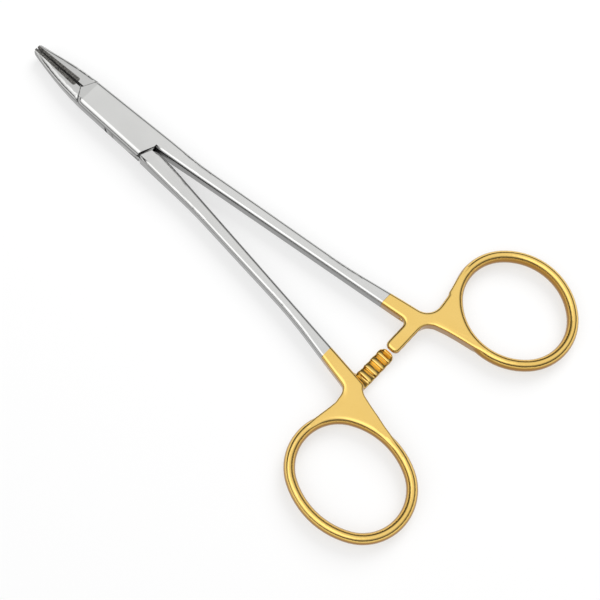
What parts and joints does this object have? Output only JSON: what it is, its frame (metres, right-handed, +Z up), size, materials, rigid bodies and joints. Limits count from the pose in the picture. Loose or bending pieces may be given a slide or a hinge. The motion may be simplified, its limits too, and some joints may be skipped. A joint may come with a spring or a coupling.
{
  "type": "surgical needle holder",
  "caption": "Box-lock needle holder with slim jaws lined with carbide pads, long shanks, an interlocking ratchet and two plated finger rings",
  "frame": {"origin": "on the pivot axis, at the underside of the box", "axes": "+Z up along the pivot axis, +Y towards the jaw tips, +X to the right of the closed jaws"},
  "size_m": [0.0917, 0.1608, 0.0062],
  "materials": {
    "steel": "satin stainless steel, gold plated from the shank ends to the ring",
    "steel_tongue": "satin stainless steel, gold plated from the shank ends to the ring",
    "pin_steel": "ground flush with the box",
    "carbide": "dark sintered carbide with a cross-cut grip"
  },
  "bodies": {
    "box_half": {"box_half": "steel", "pivot_pin": "pin_steel", "left_insert": "carbide"},
    "tongue_half": {"tongue_half": "steel_tongue", "right_insert": "carbide"}
  },
  "joints": [
    {"name": "box_lock", "type": "hinge", "parent": "box_half", "child": "tongue_half", "pos_m": [0, 0, 0.0031], "axis": [0, 0, -1], "range_deg": [-0.6, 35]}
  ]
}
